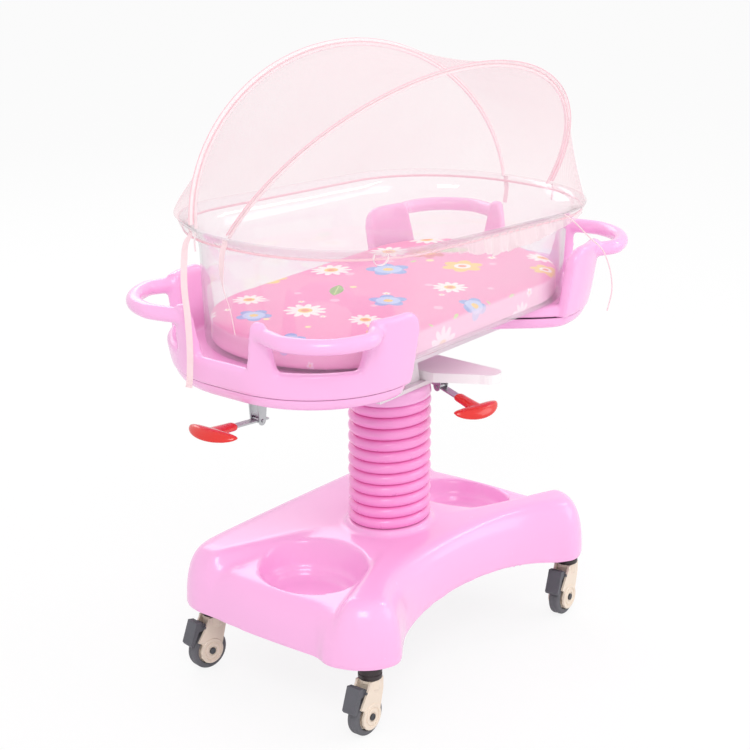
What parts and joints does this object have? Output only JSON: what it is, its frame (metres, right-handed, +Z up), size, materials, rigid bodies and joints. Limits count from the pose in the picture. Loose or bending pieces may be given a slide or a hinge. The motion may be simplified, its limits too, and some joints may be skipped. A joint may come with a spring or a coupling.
{
  "type": "hospital bassinet",
  "caption": "Hospital bassinet on casters: clear basin with printed mattress and net canopy in a pink tilting tray, on a bellows-covered lift column.",
  "frame": {"origin": "on the floor, under the middle of the overall length and width", "axes": "+Z up, -X towards the head end with the tilt lever, -Y towards the right-hand side with the height lever"},
  "size_m": [0.9952, 0.5305, 1.1479],
  "materials": {
    "pink_shell": "glossy moulded",
    "bellows_pink": "soft gloss moulded",
    "steel": "zinc plated",
    "dark_steel": "dark paint",
    "black_plastic": "moulded",
    "beige_plastic": "moulded",
    "tyre_rubber": "matt",
    "white_board": "smooth",
    "red_grip": "glossy moulded",
    "clear_plastic": "clear, polished",
    "mattress_cloth": "printed cloth cover",
    "net_cloth": "fine net",
    "tape_cloth": "woven tape",
    "hoop_wire": "sleeved wire"
  },
  "bodies": {
    "base": {"base_cover": "pink_shell", "base_frame": "dark_steel", "column_outer_tube": "steel", "guide_bush": "black_plastic", "lift_gas_cylinder": "dark_steel", "bellows": "bellows_pink", "caster_collar_head_right": "black_plastic", "caster_collar_head_left": "black_plastic", "caster_collar_foot_right": "black_plastic", "caster_collar_foot_left": "black_plastic"},
    "lift": {"column_inner_tube": "steel", "lift_gas_rod": "steel", "bellows_collar": "pink_shell", "column_head": "dark_steel", "tilt_pin": "steel", "support_board": "white_board", "height_lever_bracket": "steel", "height_lever_pin": "steel"},
    "bed": {"bed_subframe": "dark_steel", "tray_lower": "pink_shell", "tray_upper": "pink_shell", "basin": "clear_plastic", "mattress": "mattress_cloth", "canopy_net": "net_cloth", "hoop_left": "hoop_wire", "hoop_right": "hoop_wire", "tape_long": "tape_cloth", "tape_short": "tape_cloth", "tie_cord": "tape_cloth", "tilt_lever_bracket": "steel", "tilt_lever_pin": "steel"},
    "height_lever": {"height_lever_strip": "steel", "height_lever_grip": "red_grip"},
    "tilt_lever": {"tilt_lever_strip": "steel", "tilt_lever_grip": "red_grip"},
    "tilt_spring_cylinder": {"tilt_gas_cylinder": "dark_steel"},
    "tilt_spring_rod": {"tilt_gas_rod": "steel"},
    "swivel_head_right": {"caster_fork_head_right": "beige_plastic", "caster_axle_head_right": "dark_steel"},
    "wheel_head_right": {"wheel_core_head_right": "beige_plastic", "tyre_head_right": "tyre_rubber"},
    "brake_head_right": {"brake_pedal_head_right": "black_plastic"},
    "swivel_head_left": {"caster_fork_head_left": "beige_plastic", "caster_axle_head_left": "dark_steel"},
    "wheel_head_left": {"wheel_core_head_left": "beige_plastic", "tyre_head_left": "tyre_rubber"},
    "brake_head_left": {"brake_pedal_head_left": "black_plastic"},
    "swivel_foot_right": {"caster_fork_foot_right": "beige_plastic", "caster_axle_foot_right": "dark_steel"},
    "wheel_foot_right": {"wheel_core_foot_right": "beige_plastic", "tyre_foot_right": "tyre_rubber"},
    "brake_foot_right": {"brake_pedal_foot_right": "black_plastic"},
    "swivel_foot_left": {"caster_fork_foot_left": "beige_plastic", "caster_axle_foot_left": "dark_steel"},
    "wheel_foot_left": {"wheel_core_foot_left": "beige_plastic", "tyre_foot_left": "tyre_rubber"},
    "brake_foot_left": {"brake_pedal_foot_left": "black_plastic"}
  },
  "joints": [
    {"name": "lift", "type": "slide", "parent": "base", "child": "lift", "axis": [0, 0, 1], "range_m": [-0.05, 0.15], "deforming": ["bellows"]},
    {"name": "tilt", "type": "hinge", "parent": "lift", "child": "bed", "pos_m": [0.01043, 0, 0.5749], "axis": [0, 1, 0], "range_deg": [0, 12]},
    {"name": "height_lever", "type": "hinge", "parent": "lift", "child": "height_lever", "pos_m": [0.10243, -0.05, 0.5006], "axis": [-0.9781, 0.2079, 0], "range_deg": [0, 12], "stiffness_Nm_per_rad": 3, "springref_deg": -5.73},
    {"name": "tilt_lever", "type": "hinge", "parent": "bed", "child": "tilt_lever", "pos_m": [-0.35957, 0, 0.5536], "axis": [0, 1, 0], "range_deg": [0, 12], "stiffness_Nm_per_rad": 3, "springref_deg": -5.73},
    {"name": "tilt_spring_swing", "type": "hinge", "parent": "bed", "child": "tilt_spring_cylinder", "pos_m": [-0.22957, 0, 0.5919], "axis": [0, 1, 0], "range_deg": [-2, 6.63]},
    {"name": "tilt_spring_stroke", "type": "slide", "parent": "tilt_spring_cylinder", "child": "tilt_spring_rod", "axis": [0.9587, 0, -0.2845], "range_m": [-0.002, 0.015]},
    {"name": "swivel_head_right", "type": "hinge", "parent": "base", "child": "swivel_head_right", "pos_m": [-0.30457, -0.201, 0.104], "axis": [0, 0, 1], "continuous": true},
    {"name": "roll_head_right", "type": "hinge", "parent": "swivel_head_right", "child": "wheel_head_right", "pos_m": [-0.31957, -0.201, 0.0375], "axis": [0, -1, 0], "continuous": true},
    {"name": "brake_head_right", "type": "hinge", "parent": "swivel_head_right", "child": "brake_head_right", "pos_m": [-0.33457, -0.201, 0.088], "axis": [0, -1, 0], "range_deg": [0, 7]},
    {"name": "swivel_head_left", "type": "hinge", "parent": "base", "child": "swivel_head_left", "pos_m": [-0.28357, 0.19, 0.104], "axis": [0, 0, 1], "continuous": true},
    {"name": "roll_head_left", "type": "hinge", "parent": "swivel_head_left", "child": "wheel_head_left", "pos_m": [-0.29825, 0.19312, 0.0375], "axis": [-0.2079, -0.9781, 0], "continuous": true},
    {"name": "brake_head_left", "type": "hinge", "parent": "swivel_head_left", "child": "brake_head_left", "pos_m": [-0.31292, 0.19624, 0.088], "axis": [-0.2079, -0.9781, 0], "range_deg": [0, 7]},
    {"name": "swivel_foot_right", "type": "hinge", "parent": "base", "child": "swivel_foot_right", "pos_m": [0.32543, -0.201, 0.104], "axis": [0, 0, 1], "continuous": true},
    {"name": "roll_foot_right", "type": "hinge", "parent": "swivel_foot_right", "child": "wheel_foot_right", "pos_m": [0.31048, -0.20231, 0.0375], "axis": [0.0872, -0.9962, 0], "continuous": true},
    {"name": "brake_foot_right", "type": "hinge", "parent": "swivel_foot_right", "child": "brake_foot_right", "pos_m": [0.29554, -0.20361, 0.088], "axis": [0.0872, -0.9962, 0], "range_deg": [0, 7]},
    {"name": "swivel_foot_left", "type": "hinge", "parent": "base", "child": "swivel_foot_left", "pos_m": [0.30443, 0.19, 0.104], "axis": [0, 0, 1], "continuous": true},
    {"name": "roll_foot_left", "type": "hinge", "parent": "swivel_foot_left", "child": "wheel_foot_left", "pos_m": [0.28951, 0.19157, 0.0375], "axis": [-0.1045, -0.9945, 0], "continuous": true},
    {"name": "brake_foot_left", "type": "hinge", "parent": "swivel_foot_left", "child": "brake_foot_left", "pos_m": [0.27459, 0.19314, 0.088], "axis": [-0.1045, -0.9945, 0], "range_deg": [0, 7]}
  ],
  "couplings": [
    {"joint": "tilt_spring_swing", "follows": "tilt", "ratio": 0.38562},
    {"joint": "tilt_spring_stroke", "follows": "tilt", "m_per_rad": 0.061965}
  ]
}
